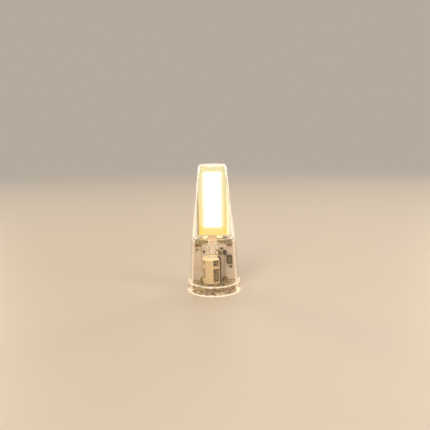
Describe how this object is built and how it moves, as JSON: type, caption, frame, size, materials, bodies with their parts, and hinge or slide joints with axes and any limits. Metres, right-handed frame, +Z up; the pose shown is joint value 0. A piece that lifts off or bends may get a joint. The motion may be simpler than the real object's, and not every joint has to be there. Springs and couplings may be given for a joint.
{
  "type": "led capsule bulb",
  "caption": "Small two-pin LED capsule bulb: lit plate in a clear tapered cover over a clear flanged housing with its driver board and capacitor.",
  "frame": {"origin": "centre of the flat underside of the foot flange; the two contact pins reach below it", "axes": "+Z up the bulb's axis from the pins to the closed top, +X across the two pins, -Y out of the front, where the capacitor is"},
  "size_m": [0.015, 0.015, 0.0425],
  "materials": {
    "clear_plastic": "clear, polished",
    "clear_resin": "clear, uneven",
    "amber_glue": "uneven, set",
    "phosphor": "matt, lit",
    "led_chip": "polished, lit",
    "plate_ceramic": "matt",
    "board_white": "satin",
    "pin_metal": "plated, satin",
    "solder": "bright, uneven",
    "can_aluminium": "satin",
    "sleeve_gold": "satin print sleeve",
    "bung_rubber": "matt",
    "ferrite": "matt",
    "drum_ferrite": "satin",
    "copper_wire": "enamelled",
    "chip_black": "satin",
    "chip_ceramic": "satin",
    "tinned_metal": "tinned"
  },
  "bodies": {
    "root": {"upper_cover": "clear_plastic", "lower_housing": "clear_plastic", "base_disc": "clear_plastic", "base_resin": "clear_resin", "contact_pin_left": "pin_metal", "contact_pin_right": "pin_metal", "pin_solder_left": "solder", "pin_solder_right": "solder", "tongue_solder": "solder", "joint_glue": "amber_glue", "lead_solder": "solder", "led_plate": "plate_ceramic", "led_chips_front": "led_chip", "led_chips_back": "led_chip", "phosphor_front": "phosphor", "phosphor_back": "phosphor", "driver_board": "board_white", "capacitor_can": "can_aluminium", "capacitor_sleeve": "sleeve_gold", "capacitor_bung": "bung_rubber", "capacitor_leads": "tinned_metal", "bridge_rectifier": "chip_black", "rectifier_leads": "tinned_metal", "driver_chip": "chip_black", "driver_chip_leads": "tinned_metal", "freewheel_diode": "chip_black", "diode_leads": "tinned_metal", "inductor_frame": "ferrite", "inductor_core": "drum_ferrite", "inductor_winding": "copper_wire", "chip_resistor_1": "chip_black", "chip_resistor_2": "chip_black", "chip_resistor_3": "chip_black", "chip_resistor_4": "chip_black", "ceramic_capacitor_1": "chip_ceramic", "ceramic_capacitor_2": "chip_ceramic", "ceramic_capacitor_3": "chip_ceramic", "chip_end_caps": "tinned_metal"}
  },
  "joints": []
}
